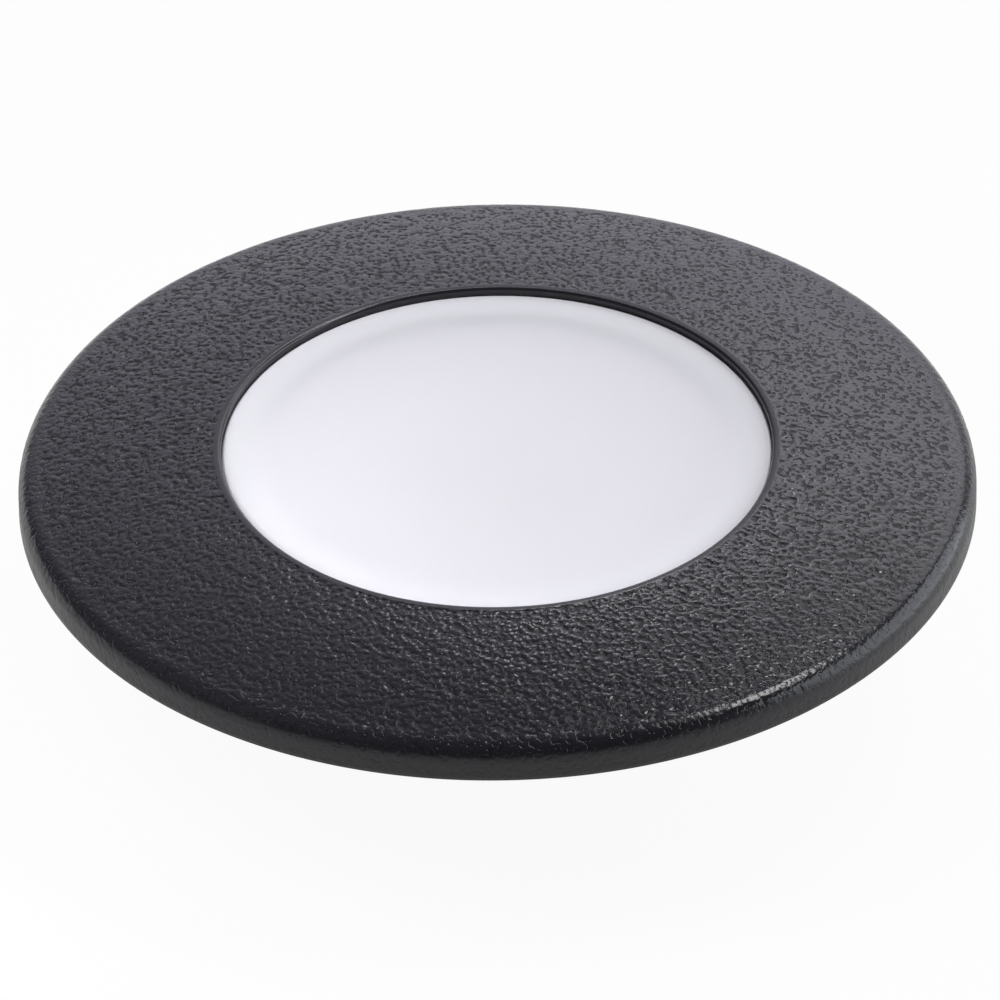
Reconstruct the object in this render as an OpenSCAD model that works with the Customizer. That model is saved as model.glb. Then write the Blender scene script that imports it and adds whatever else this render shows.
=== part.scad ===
// In-ground light: a textured trim ring twists onto a sealed cast housing and holds down
// a frosted lens that stands almost flush in its opening. Everything below the ring is
// buried. The origin is on the axis at ground level, and +Z points up out of the ground.

/* [Trim ring] */
// Diameter of the opening round the lens
opening_d = 57.5; // [50:0.5:59]
// Width of the trim ring from the opening to its outer edge
trim_w = 21.25; // [19:0.25:29]
// Rise of the sloping top from the outer shoulder to the lip
trim_rise = 2.6; // [2:0.1:5]
// How far the sloping top bulges above a straight cone
crown_h = 0.3; // [0:0.05:0.6]
// Radius of the rounded outer shoulder
edge_round = 2; // [0.6:0.1:2.2]
// Width of the smooth lip round the opening
lip_w = 0.8; // [0.5:0.1:1.5]
// Radius on the lip's inner edge
lip_round = 0.3; // [0.1:0.05:0.5]
// Wall of the trim ring
trim_wall = 2; // [1.6:0.1:2.6]
// Wall of the sleeve that hangs down round the lens
sleeve_wall = 2.25; // [1.6:0.05:3]
// Gussets between the skirt and the underside
gusset_count = 24; // [12:1:36]
// Thickness of one gusset
gusset_t = 1.2; // [0.8:0.1:2]

/* [Bayonet] */
// Lugs on the sleeve
lug_count = 3; // [2:1:4]
// Angle that one lug covers, in degrees
lug_angle = 16; // [10:1:20]
// Turn from locked to free, in degrees
twist_angle = 20; // [20:1:28]
// How far a lug stands out of the sleeve
lug_w = 1.3; // [0.9:0.1:1.8]
// Thickness of a lug
lug_t = 1.1; // [0.8:0.1:1.5]
// Thickness of the collar's lip above the lugs
lug_cover = 1.35; // [1:0.05:1.6]
// Play round a lug, above, below and outside
lug_play = 0.15; // [0.1:0.05:0.3]
// Play at each end of a lug's groove, in degrees
lug_slack = 0.6; // [0.3:0.1:1.5]

/* [Lens] */
// Drop from the lip to the face of the lens
lens_recess = 0.75; // [0.3:0.05:1.5]
// Thickness of the lens face
lens_face_t = 2.5; // [1.5:0.1:3]
// Wall of the tube below the lens face
lens_tube_wall = 2.3; // [1.5:0.1:3]
// Thickness of the lens flange
lens_flange_t = 2.2; // [1.5:0.1:3]
// Bevel round the lens face
lens_bevel = 0.35; // [0.2:0.05:0.6]
// Thickness of the lens gasket when clamped
lens_gasket_t = 0.8; // [0.5:0.1:1.5]

/* [Housing] */
// Thickness of the mounting flange
flange_t = 1.8; // [1.3:0.1:2.5]
// Distance from the mounting flange out to the inside of the skirt
flange_gap = 5; // [4:0.5:8]
// Thickness of the ground gasket when clamped
ground_gasket_t = 0.8; // [0.5:0.1:2]
// Wall of the cup outside the lens bore
bore_wall = 1.8; // [1.5:0.1:3]
// Wall of the collar outside the lug groove
collar_wall = 1.85; // [1.4:0.05:2.5]
// Width of the ledge that the lens gasket lies on
ledge_w = 2; // [1.6:0.1:2.4]
// Thickness of the cup's floor
floor_t = 3; // [2.6:0.1:4]
// Outer diameter of the driver can below the cup
can_d = 40; // [38:1:44]
// Wall of the driver can
can_wall = 2.4; // [2:0.1:3]
// Inside height of the driver can
can_room = 9; // [8.8:0.1:12]
// Webs between the cup and the driver can
web_count = 8; // [4:4:16]
// Thickness of one web
web_t = 1.6; // [1:0.1:2.4]

/* [Mounting screws] */
// Mounting screw holes in the flange
mount_hole_count = 3; // [3:1:6]
// Diameter of a mounting screw hole
mount_hole_d = 3.5; // [3:0.1:4]
// Diameter of its countersink
mount_sink_d = 5.7; // [5:0.1:6]

/* [Light engine] */
// Height of the reflector's foot
foot_h = 2.1; // [1.8:0.1:3]
// Wall of the reflector
reflector_wall = 1; // [0.8:0.1:1.2]
// Diameter of the reflector's opening round the LEDs
reflector_eye_d = 21; // [20:0.5:23]
// Thickness of the LED board
led_board_t = 1.6; // [1:0.1:2]
// Thickness of the thermal pad
pad_t = 0.5; // [0.3:0.1:1]
// LEDs on the outer circle
led_count = 6; // [4:1:8]
// Radius of the outer LED circle
led_circle_r = 7; // [6:0.1:7.5]
// Edge length of one LED
led_size = 3; // [2.5:0.1:3.2]
// Height of one LED
led_h = 0.8; // [0.5:0.1:1]

/* [Driver] */
// Height of the posts that carry the driver board
post_h = 4.8; // [4.6:0.1:5.2]
// Thickness of the driver board
driver_board_t = 1.6; // [1:0.1:1.6]
// Diameter of one link wire
wire_d = 1.2; // [0.8:0.1:1.4]
// Distance between the two link wires
wire_pitch = 2; // [1.8:0.1:2.4]

/* [Base cover] */
// Thickness of the base cover
cover_t = 1.8; // [1.6:0.1:3]
// Thickness of the base gasket when clamped
base_gasket_t = 0.6; // [0.4:0.1:1]
// Shank diameter of the base screws
base_screw_d = 2.5; // [2:0.1:3]
// Length of the base screws
base_screw_l = 8; // [6:0.5:9]
// Shank diameter of the breather plug
vent_d = 4.8; // [4:0.1:5.4]

/* [Cable gland] */
// Bore of the rubber seal, for the supply cable
cable_bore_d = 4.2; // [3.6:0.1:4.4]
// Thread diameter of the gland
gland_thread_d = 6.8; // [6.6:0.1:7.2]
// Width of the gland's hexagons across their flats
gland_hex = 8.4; // [8.2:0.1:8.8]

/* [Hidden] */

$fn = 96;
// Overlap that joins two shapes of one piece
lap = 0.3;
// Overshoot of a cut past the face that it opens
past = 1;
// Gap between pieces that are slid together
slide_gap = 0.2;
// Gap between pieces that lie on each other but turn or expand
rest_gap = 0.1;
// Gap round a screw or wire in its own hole
screw_gap = 0.05;
// Gap between the trim ring's underside and the flange edge below it
trim_gap = 0.4;
// Small chamfer on moulded and cast edges
chamfer = 0.4;

opening_r = opening_d / 2;
trim_r = opening_r + trim_w;
shoulder_r = trim_r - edge_round;
lip_r = opening_r + lip_w;
slope_run = shoulder_r - lip_r;
flange_r = trim_r - trim_wall - flange_gap;
flange_top = ground_gasket_t + flange_t;

// Height of the sloping top above the shoulder, at a radius
function crown_rise(r) =
    let (t = (shoulder_r - r) / slope_run) trim_rise * t + 4 * crown_h * t * (1 - t);
// Steepness of the top where it meets the rounded shoulder, in degrees
shoulder_slope = atan((trim_rise + 4 * crown_h) / slope_run);
shoulder_h = flange_top + trim_gap + trim_wall - crown_rise(flange_r);
lip_h = shoulder_h + trim_rise;
function trim_top(r) = shoulder_h + crown_rise(r);
function trim_under(r) = trim_top(r) - trim_wall;

sleeve_r = opening_r + sleeve_wall;
bore_r = sleeve_r + slide_gap;
groove_r = sleeve_r + lug_w + lug_play;
collar_r = groove_r + collar_wall;
cup_r = bore_r + bore_wall;
cup_in_r = bore_r - ledge_w;

// Heights, from the collar down to the base
collar_top = trim_under(collar_r) - trim_gap;
groove_top = collar_top - lug_cover;
lug_top = groove_top - lug_play;
sleeve_bottom = lug_top - lug_t;
groove_bottom = sleeve_bottom - lug_play;
lens_top = lip_h - lens_recess;
lens_flange_top = sleeve_bottom - rest_gap;
lens_bottom = lens_flange_top - lens_flange_t;
ledge_z = lens_bottom - lens_gasket_t;
foot_top = lens_bottom - rest_gap;
led_board_top = foot_top - foot_h;
led_board_bottom = led_board_top - led_board_t;
floor_top = led_board_bottom - pad_t;
floor_bottom = floor_top - floor_t;
can_bottom = floor_bottom - can_room;
cover_top = can_bottom - base_gasket_t;
base_z = cover_top - cover_t;
driver_board_top = floor_bottom - post_h;
driver_board_bottom = driver_board_top - driver_board_t;

can_r = can_d / 2;
can_in_r = can_r - can_wall;
// The gasket is centred by a register that stands out of the cup
register_w = 0.4;
register_r = cup_r + register_w;
mount_circle_r = (collar_r + flange_r) / 2;

lens_r = opening_r - slide_gap;
lens_tube_in_r = lens_r - lens_tube_wall;
lens_flange_r = bore_r - slide_gap;
led_board_r = cup_in_r - 2 * slide_gap;
pad_edge = 1;
pad_r = led_board_r - pad_edge;

// Reflector dish
dish_in_r = reflector_eye_d / 2;
dish_wall_r = lens_tube_in_r - slide_gap;
dish_rim_w = 0.8;
dish_out_r = dish_wall_r - dish_rim_w;
dish_top = lens_top - lens_face_t - slide_gap;
dish_low = led_board_top + reflector_wall - rest_gap;
dish_curve = 1.3;
function dish_z(r) =
    dish_low + (dish_top - dish_low) * pow((r - dish_in_r) / (dish_out_r - dish_in_r), dish_curve);

// Screws of the boards: shank radius, head radius, head height and hold in the casting
board_screw_r = 1.2;
board_head_r = 2.2;
board_head_h = 1.4;
board_screw_hold = 2.2;
led_screw_inset = 2;
led_screw_circle_r = dish_wall_r - board_head_r - led_screw_inset;
led_screw_angles = [60, 180, 300];
post_r = 2.2;
post_inset = 2.4;
post_circle_r = can_in_r - post_r - post_inset;
post_angles = [0, 128, 240];

// Base screws run into bosses along the wall of the can
base_boss_r = 2.6;
base_boss_circle_r = can_in_r - base_boss_r + lap;
base_boss_angles = [30, 150, 270];
base_screw_r = base_screw_d / 2;
base_head_h = 1.15;
base_head_r = base_screw_r + base_head_h;
base_screw_hold = base_screw_l - cover_t - base_gasket_t;
board_notch_r = base_boss_r + 2 * slide_gap;

// Link wires, in a rubber bush in the cup's floor
wire_r = wire_d / 2;
wire_inset = 3.2;
wire_x = wire_inset - can_in_r;
grommet_wall = 0.4;
grommet_r = wire_pitch / 2 + wire_r + grommet_wall;
grommet_flange_w = 0.6;
grommet_flange_r = grommet_r + grommet_flange_w;

// Breather plug in the middle of the base
vent_r = vent_d / 2;
vent_head_w = 1.4;
vent_head_r = vent_r + vent_head_w;
vent_head_h = 0.8;
vent_seal_t = 0.3;
vent_pocket = vent_head_h + vent_seal_t + rest_gap;
vent_boss_wall = 2;
vent_boss_h = 1.5;

// Cable gland, along +Y at half the height of the driver can
gland_z = (floor_bottom + can_bottom) / 2;
gland_pad_edge = 0.6;
gland_pad_w = gland_hex + 2 * gland_pad_edge;
gland_pad_t = 1.4;
gland_pad_y = can_r + gland_pad_t;
gland_r = gland_thread_d / 2;
gland_washer_t = 0.6;
gland_flange_y = gland_pad_y + gland_washer_t;
gland_flange_t = 2.4;
gland_neck_y = gland_flange_y + gland_flange_t;
gland_neck_l = 4.2;
gland_tail_l = 0.8;
gland_inner_y = can_in_r - gland_tail_l;
cable_r = cable_bore_d / 2;
gland_bore_r = cable_r + 1.5 * slide_gap;
gland_neck_wall = 0.6;
gland_seal_r = gland_r - gland_neck_wall;
gland_seal_l = 4.6;
gland_nut_y = gland_neck_y + rest_gap + slide_gap;
gland_nut_l = 4.6;
gland_dome_l = 1.7;
gland_mouth_r = cable_r + slide_gap;

// The driver board stops short of the gland's inner end, and its parts stand at these places
board_clear_l = 3.2;
board_flat_y = gland_inner_y - board_clear_l;
rectifier_place = [4.4, -8.2];
driver_chip_place = [-6.2, 3.6];
capacitor_place = [5.6, -2.6];
inductor_place = [-4.6, -4];
resistor_places = [[4.6, 3.4], [6.6, 3.4], [8.6, 3.4]];
rectifier_size = [4.7, 3.6, 2.4];
driver_chip_size = [4.8, 3, 1.5];
resistor_size = [1.2, 2, 0.6];
terminal_size = [7.6, 5.4, 4.3];
terminal_pitch = 3.8;
terminal_y = board_flat_y - terminal_size[1] / 2 - 2 * slide_gap;
terminal_screw_r = 1.1;
terminal_screw_h = 1.5;

// Points along an arc round a centre, from one angle to another
function arc(c, r, from, to, n = 8) =
    [for (i = [0:n]) let (a = from + (to - from) * i / n) c + r * [cos(a), sin(a)]];

// Places copies of a shape round the axis at a list of angles
module around(angles, r) {
    for (a = angles) rotate([0, 0, a]) translate([r, 0, 0]) children();
}

function turns(n, start = 0) = [for (i = [0:n - 1]) start + 360 * i / n];

// A through hole of one radius that opens into a cone, as one turned cutter. It starts at the
// cone's face, z = 0, and runs up.
module sunk_hole(sink_r, hole_r, length) {
    rotate_extrude() polygon([
        [0, -past], [sink_r + past, -past], [hole_r, sink_r - hole_r], [hole_r, length + past],
        [0, length + past]
    ]);
}

// A closed ring of rectangular section
module ring(r_in, r_out, z, h) {
    translate([0, 0, z]) difference() {
        cylinder(r = r_out, h = h);
        translate([0, 0, -past]) cylinder(r = r_in, h = h + 2 * past);
    }
}

// Part of a ring of rectangular section, between two angles
module ring_part(r_in, r_out, z, h, from, to) {
    rotate([0, 0, from]) rotate_extrude(angle = to - from) translate([r_in, z])
        square([r_out - r_in, h]);
}

// Rounded shoulder, sloping top, lip, sleeve and hollow underside, as one section
function trim_section() =
    let (
        top_r = shoulder_r + edge_round * sin(shoulder_slope),
        round_c = [shoulder_r, trim_top(top_r) - edge_round * cos(shoulder_slope)],
        skirt_in_r = trim_r - trim_wall,
        steps = 12
    )
    concat(
        [[opening_r, sleeve_bottom], [sleeve_r, sleeve_bottom]],
        [for (i = [0:steps]) let (r = sleeve_r + (skirt_in_r - sleeve_r) * i / steps) [r, trim_under(r)]],
        [[skirt_in_r, 0], [trim_r - chamfer / 2, 0], [trim_r, chamfer / 2]],
        arc(round_c, edge_round, 0, 90 - shoulder_slope, 14),
        [for (i = [1:steps]) let (r = top_r + (lip_r - top_r) * i / steps) [r, trim_top(r)]],
        arc([opening_r + lip_round, lip_h - lip_round], lip_round, 90, 180, 4)
    );

// One gusset under the trim ring, clear of the flange that turns past it
module trim_gusset() {
    from_r = flange_r + 2 * trim_gap;
    to_r = trim_r - trim_wall + lap;
    low_z = chamfer;
    rotate([90, 0, 0]) translate([0, 0, -gusset_t / 2]) linear_extrude(gusset_t) polygon([
        [from_r, trim_under(from_r) - trim_gap], [to_r - lap, low_z], [to_r, low_z],
        [to_r, trim_under(to_r) + lap], [from_r, trim_under(from_r) + lap]
    ]);
}

module trim_ring() {
    color("#2a2c30") union() {
        rotate_extrude() polygon(trim_section());
        for (a = turns(gusset_count, 360 / gusset_count / 2)) rotate([0, 0, a]) trim_gusset();
        for (a = turns(lug_count)) rotate([0, 0, a])
            ring_part(sleeve_r - lap, sleeve_r + lug_w, sleeve_bottom, lug_t,
                -lug_angle / 2, lug_angle / 2);
    }
}

// A hat: flat face, short tube and a flange that is clamped below the sleeve
module lens() {
    color("#eef2f5") rotate_extrude() polygon([
        [0, lens_top], [lens_r - lens_bevel, lens_top], [lens_r, lens_top - lens_bevel],
        [lens_r, lens_flange_top], [lens_flange_r, lens_flange_top], [lens_flange_r, lens_bottom],
        [lens_tube_in_r, lens_bottom], [lens_tube_in_r, lens_top - lens_face_t],
        [0, lens_top - lens_face_t]
    ]);
}

module lens_gasket() {
    color("#d8d8d2") ring(cup_in_r + slide_gap, bore_r - slide_gap, ledge_z, lens_gasket_t);
}

// A white dish round the LEDs, on a foot that the lens holds down
module reflector() {
    steps = 14;
    under_r = dish_wall_r - reflector_wall;
    eye_z = led_board_top + rest_gap;
    color("#f4f4f2") rotate_extrude() polygon(concat(
        [[dish_wall_r, dish_top], [dish_wall_r, foot_top], [led_board_r, foot_top]],
        [[led_board_r, led_board_top], [under_r, led_board_top]],
        [for (i = [0:steps]) let (r = under_r + (dish_in_r - under_r) * i / steps)
            [r, max(dish_z(r) - reflector_wall, eye_z)]],
        [for (i = [0:steps]) let (r = dish_in_r + (dish_out_r - dish_in_r) * i / steps) [r, dish_z(r)]]
    ));
}

// Small square packages, one in the middle and the rest on a circle
module leds() {
    lamp_r = led_size * 0.4;
    module led() {
        difference() {
            translate([-led_size / 2, -led_size / 2, led_board_top]) cube([led_size, led_size, led_h]);
            translate([0, 0, led_board_top + led_h - rest_gap]) cylinder(r = lamp_r, h = past);
        }
    }
    color("#f2dc6a") {
        led();
        around(turns(led_count), led_circle_r) led();
    }
}

module led_board() {
    color("#f7f7f5") difference() {
        translate([0, 0, led_board_bottom]) cylinder(r = led_board_r, h = led_board_t);
        around(led_screw_angles, led_screw_circle_r) translate([0, 0, led_board_bottom - past])
            cylinder(r = board_screw_r + slide_gap, h = led_board_t + 2 * past);
        wire_holes(led_board_bottom, led_board_t);
    }
}

// The two holes that the link wires pass through in a board
module wire_holes(z, h) {
    for (side = [-1, 1]) translate([wire_x, side * wire_pitch / 2, z - past])
        cylinder(r = wire_r + screw_gap, h = h + 2 * past);
}

// A pan-head screw that points down, with its head's underside at z = 0
module pan_screw(length) {
    recess_r = board_head_r * 0.55;
    difference() {
        union() {
            cylinder(r1 = board_head_r, r2 = board_head_r - chamfer, h = board_head_h);
            translate([0, 0, -length]) cylinder(r = board_screw_r, h = length + lap);
        }
        translate([0, 0, board_head_h * 0.5]) cylinder(r = recess_r, h = past, $fn = 6);
    }
}

module led_board_screws() {
    color("#b9bcc0") around(led_screw_angles, led_screw_circle_r)
        translate([0, 0, led_board_top]) pan_screw(led_board_t + pad_t + board_screw_hold);
}

module thermal_pad() {
    color("#9fb4c8") difference() {
        translate([0, 0, floor_top]) cylinder(r = pad_r, h = pad_t);
        around(led_screw_angles, led_screw_circle_r) translate([0, 0, floor_top - past])
            cylinder(r = board_screw_r + slide_gap, h = pad_t + 2 * past);
        translate([wire_x, 0, floor_top - past]) cylinder(r = grommet_r, h = pad_t + 2 * past);
    }
}

// Collar, flange, cup and driver can as one turned section
function housing_section() = [
    [bore_r, collar_top], [collar_r - chamfer, collar_top], [collar_r, collar_top - chamfer],
    [collar_r, flange_top], [flange_r - chamfer, flange_top], [flange_r, flange_top - chamfer],
    [flange_r, ground_gasket_t], [register_r, ground_gasket_t], [register_r, 0], [cup_r, 0],
    [cup_r, floor_bottom + 2 * chamfer], [cup_r - 2 * chamfer, floor_bottom],
    [can_r + chamfer, floor_bottom], [can_r, floor_bottom - chamfer],
    [can_r, can_bottom], [can_in_r, can_bottom], [can_in_r, floor_bottom], [0, floor_bottom],
    [0, floor_top], [cup_in_r, floor_top], [cup_in_r, ledge_z], [bore_r, ledge_z]
];

// One web that braces the driver can below the cup
module housing_web() {
    rotate([90, 0, 0]) translate([0, 0, -web_t / 2]) linear_extrude(web_t) polygon([
        [can_r - lap, floor_bottom + lap], [cup_r - 4 * chamfer, floor_bottom + lap],
        [cup_r - 4 * chamfer, floor_bottom - chamfer], [can_r, can_bottom + 2 * chamfer],
        [can_r - lap, can_bottom + 2 * chamfer]
    ]);
}

// The L-shaped way of one lug: in from the top through an eased mouth, then round under the
// collar's lip
module lug_way() {
    half = lug_angle / 2 + lug_slack;
    mouth_half = half + lug_slack;
    mouth_z = (groove_bottom + groove_top) / 2;
    ring_part(bore_r - lap, groove_r, groove_bottom, groove_top - groove_bottom,
        -half, twist_angle + half);
    ring_part(bore_r - 2 * lap, groove_r + lap, mouth_z, collar_top - mouth_z + past,
        twist_angle - mouth_half, twist_angle + mouth_half);
}

module housing() {
    color("#4b4e52") difference() {
        union() {
            rotate_extrude() polygon(housing_section());
            for (a = turns(web_count, 180 / web_count)) rotate([0, 0, a]) housing_web();
            around(post_angles, post_circle_r) translate([0, 0, driver_board_top])
                cylinder(r = post_r, h = post_h + lap);
            around(base_boss_angles, base_boss_circle_r) translate([0, 0, can_bottom])
                cylinder(r = base_boss_r, h = can_room + lap);
            translate([-gland_pad_w / 2, can_in_r + lap, can_bottom])
                cube([gland_pad_w, gland_pad_y - can_in_r - lap, can_room + lap]);
        }
        for (a = turns(lug_count)) rotate([0, 0, a]) lug_way();
        around(turns(mount_hole_count, 90), mount_circle_r) translate([0, 0, flange_top])
            mirror([0, 0, 1]) sunk_hole(mount_sink_d / 2, mount_hole_d / 2, flange_t);
        around(led_screw_angles, led_screw_circle_r)
            translate([0, 0, floor_top - board_screw_hold - slide_gap])
                cylinder(r = board_screw_r + screw_gap, h = board_screw_hold + slide_gap + past);
        around(post_angles, post_circle_r) translate([0, 0, driver_board_top - past])
            cylinder(r = board_screw_r + screw_gap, h = board_screw_hold + slide_gap + past);
        around(base_boss_angles, base_boss_circle_r) translate([0, 0, can_bottom - past])
            cylinder(r = base_screw_r + screw_gap, h = base_screw_hold + slide_gap + past);
        translate([wire_x, 0, floor_bottom - past]) cylinder(r = grommet_r, h = floor_t + 2 * past);
        translate([0, can_in_r - past, gland_z]) rotate([-90, 0, 0])
            cylinder(r = gland_r + screw_gap, h = can_wall + 3 * past);
    }
}

module ground_gasket() {
    color("#1d1d1f") difference() {
        ring(register_r + rest_gap, flange_r, 0, ground_gasket_t);
        around(turns(mount_hole_count, 90), mount_circle_r) translate([0, 0, -past])
            cylinder(d = mount_hole_d + 2 * slide_gap, h = ground_gasket_t + 2 * past);
    }
}

// A rubber bush that fills the hole in the cup's floor
module wire_grommet() {
    flange_h = 0.6;
    color("#222325") difference() {
        union() {
            translate([wire_x, 0, floor_bottom - flange_h]) cylinder(r = grommet_flange_r, h = flange_h);
            translate([wire_x, 0, floor_bottom - flange_h])
                cylinder(r = grommet_r - screw_gap, h = floor_t + flange_h);
        }
        wire_holes(floor_bottom - flange_h, floor_t + flange_h);
    }
}

// Two stiff wires from the driver board up to the LED board, with a solder cone at each end
module link_wires() {
    tail = 0.45;
    solder_w = 0.4;
    solder_r = wire_r + solder_w;
    low = driver_board_bottom - tail;
    color("#b0392f") for (side = [-1, 1]) translate([wire_x, side * wire_pitch / 2, 0]) {
        translate([0, 0, low]) cylinder(r = wire_r, h = led_board_top + tail - low);
        translate([0, 0, led_board_top]) cylinder(r1 = solder_r, r2 = wire_r, h = tail);
        translate([0, 0, low]) cylinder(r1 = wire_r, r2 = solder_r, h = tail);
    }
}

module driver_board() {
    color("#2f6b45") difference() {
        translate([0, 0, driver_board_bottom]) cylinder(r = can_in_r - 2 * slide_gap, h = driver_board_t);
        translate([-can_r, board_flat_y, driver_board_bottom - past])
            cube([can_d, can_r, driver_board_t + 2 * past]);
        around(base_boss_angles, base_boss_circle_r) translate([0, 0, driver_board_bottom - past])
            cylinder(r = board_notch_r, h = driver_board_t + 2 * past);
        around(post_angles, post_circle_r) translate([0, 0, driver_board_bottom - past])
            cylinder(r = board_screw_r + slide_gap, h = driver_board_t + 2 * past);
        wire_holes(driver_board_bottom, driver_board_t);
    }
}

module driver_board_screws() {
    color("#b9bcc0") around(post_angles, post_circle_r)
        translate([0, 0, driver_board_bottom]) mirror([0, 0, 1])
            pan_screw(driver_board_t + board_screw_hold);
}

// A flat package with legs down two of its sides, standing on the driver board
module chip(size, legs, pitch) {
    leg_w = 0.5;
    leg_reach = 0.7;
    leg_h = size[2] * 0.4;
    translate([-size[0] / 2, -size[1] / 2, rest_gap]) cube([size[0], size[1], size[2] - rest_gap]);
    for (side = [-1, 1], i = [0:legs - 1])
        translate([(i - (legs - 1) / 2) * pitch - leg_w / 2, side * size[1] / 2 - leg_reach, 0])
            cube([leg_w, 2 * leg_reach, leg_h]);
}

module on_driver_board(place) {
    translate([place[0], place[1], driver_board_top]) children();
}

module rectifier() {
    color("#1b1b1d") on_driver_board(rectifier_place) chip(rectifier_size, legs = 2, pitch = 2.6);
}

module driver_chip() {
    color("#242427") on_driver_board(driver_chip_place) rotate([0, 0, 90])
        chip(driver_chip_size, legs = 4, pitch = 1.2);
}

// A can with a rolled waist on a square black foot
module capacitor() {
    can = 2.5;
    height = 4.3;
    foot = 0.9;
    waist = 0.25;
    color("#c9ccd0") on_driver_board(capacitor_place) {
        translate([-can, -can, 0]) cube([2 * can, 2 * can, foot]);
        translate([0, 0, foot - lap]) difference() {
            cylinder(r = can, h = height - foot + lap);
            translate([0, 0, 2 * lap]) ring(can - waist, can + past, 0, waist * 2);
        }
    }
}

// A wound core between two square flanges
module inductor() {
    side = 6;
    height = 3.2;
    cheek = 0.8;
    core_r = 2.5;
    color("#3a3a3d") on_driver_board(inductor_place) {
        for (z = [0, height - cheek]) translate([-side / 2, -side / 2, z]) cube([side, side, cheek]);
        cylinder(r = core_r, h = height);
    }
}

module resistors() {
    color("#2b2b33") for (place = resistor_places) on_driver_board(place)
        translate([-resistor_size[0] / 2, -resistor_size[1] / 2, 0]) cube(resistor_size);
}

module terminal_places() {
    for (side = [-1, 1]) on_driver_board([side * terminal_pitch / 2, terminal_y]) children();
}

// Two-way block: wires enter from the gland's side, screws go in from the top
module terminal_block() {
    entry_r = 0.95;
    entry_z = 1.5;
    color("#3f7f5f") difference() {
        on_driver_board([0, terminal_y]) translate([-terminal_size[0] / 2, -terminal_size[1] / 2, 0])
            cube(terminal_size);
        terminal_places() {
            translate([0, 0, terminal_size[2] - terminal_screw_h - slide_gap])
                cylinder(r = terminal_screw_r + screw_gap, h = terminal_screw_h + slide_gap + past);
            translate([0, 0, entry_z]) rotate([-90, 0, 0]) cylinder(r = entry_r, h = terminal_size[1]);
        }
    }
}

module terminal_screws() {
    slot_w = 0.5;
    top = terminal_size[2] - slide_gap;
    color("#c8c9cc") terminal_places() difference() {
        translate([0, 0, terminal_size[2] - terminal_screw_h - slide_gap])
            cylinder(r = terminal_screw_r, h = terminal_screw_h);
        translate([-past - terminal_screw_r, -slot_w / 2, top - slot_w])
            cube([2 * (past + terminal_screw_r), slot_w, past]);
    }
}

module base_gasket() {
    inner_r = base_boss_circle_r - base_boss_r;
    color("#d8d8d2") difference() {
        ring(inner_r, can_r - chamfer, cover_top, base_gasket_t);
        around(base_boss_angles, base_boss_circle_r) translate([0, 0, cover_top - past])
            cylinder(r = base_screw_r + slide_gap, h = base_gasket_t + 2 * past);
    }
}

module base_cover() {
    pocket_r = vent_head_r + slide_gap;
    hole_r = vent_r + screw_gap;
    boss_top = cover_top + vent_boss_h;
    color("#3d4043") difference() {
        union() {
            rotate_extrude() polygon([
                [0, base_z], [can_r - 2 * chamfer, base_z], [can_r, base_z + 2 * chamfer],
                [can_r, cover_top], [0, cover_top]
            ]);
            translate([0, 0, cover_top - lap]) cylinder(r = vent_r + vent_boss_wall, h = vent_boss_h + lap);
        }
        around(base_boss_angles, base_boss_circle_r) translate([0, 0, base_z])
            sunk_hole(base_head_r + slide_gap, base_screw_r + slide_gap, cover_t);
        rotate_extrude() polygon([
            [0, base_z - past], [pocket_r, base_z - past], [pocket_r, base_z + vent_pocket],
            [hole_r, base_z + vent_pocket], [hole_r, boss_top + past], [0, boss_top + past]
        ]);
    }
}

// Countersunk screws, flush with the base
module base_screws() {
    recess_h = 0.7;
    color("#b9bcc0") around(base_boss_angles, base_boss_circle_r) translate([0, 0, base_z + rest_gap])
        difference() {
            rotate_extrude() polygon([
                [0, 0], [base_head_r, 0], [base_screw_r, base_head_h], [base_screw_r, base_screw_l],
                [0, base_screw_l]
            ]);
            translate([0, 0, -past]) cylinder(r = base_head_r / 2, h = past + recess_h, $fn = 6);
        }
}

// Breather: a slotted plug, hollow from above, that lets the housing breathe but keeps water out
module vent_plug() {
    slot_w = 1;
    slot_h = 0.4;
    head_z = base_z + rest_gap;
    shoulder_z = head_z + vent_head_h;
    stem_top = cover_top + vent_boss_h + chamfer;
    color("#2b2d30") difference() {
        rotate_extrude() polygon([
            [0, head_z], [vent_head_r, head_z], [vent_head_r, shoulder_z], [vent_r, shoulder_z],
            [vent_r, stem_top], [vent_r / 2, stem_top], [vent_r / 2, shoulder_z], [0, shoulder_z]
        ]);
        translate([-vent_head_r - past, -slot_w / 2, head_z - past])
            cube([2 * (vent_head_r + past), slot_w, slot_h + past]);
    }
}

module vent_seal() {
    color("#d8d8d2") ring(vent_r + screw_gap, vent_head_r, base_z + rest_gap + vent_head_h, vent_seal_t);
}

// Turns a shape so that its +Z points out along the gland, away from the housing
module along_gland(y) {
    translate([0, y, gland_z]) rotate([-90, 0, 0]) children();
}

// A hexagon whose flats face up and down
module hexagon(h) {
    cylinder(r = gland_hex / sqrt(3), h = h, $fn = 6);
}

module gland_washer() {
    color("#1f1f21") along_gland(gland_pad_y) ring(gland_r + screw_gap, gland_hex / 2, 0, gland_washer_t);
}

module gland_body() {
    color("#2c2e31") difference() {
        union() {
            along_gland(gland_inner_y)
                cylinder(r = gland_r, h = gland_neck_y + gland_neck_l - gland_inner_y);
            along_gland(gland_flange_y) hexagon(gland_flange_t);
        }
        along_gland(gland_inner_y - past) cylinder(r = gland_bore_r, h = can_d);
        along_gland(gland_neck_y) cylinder(r = gland_seal_r + screw_gap, h = gland_neck_l + past);
    }
}

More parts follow.
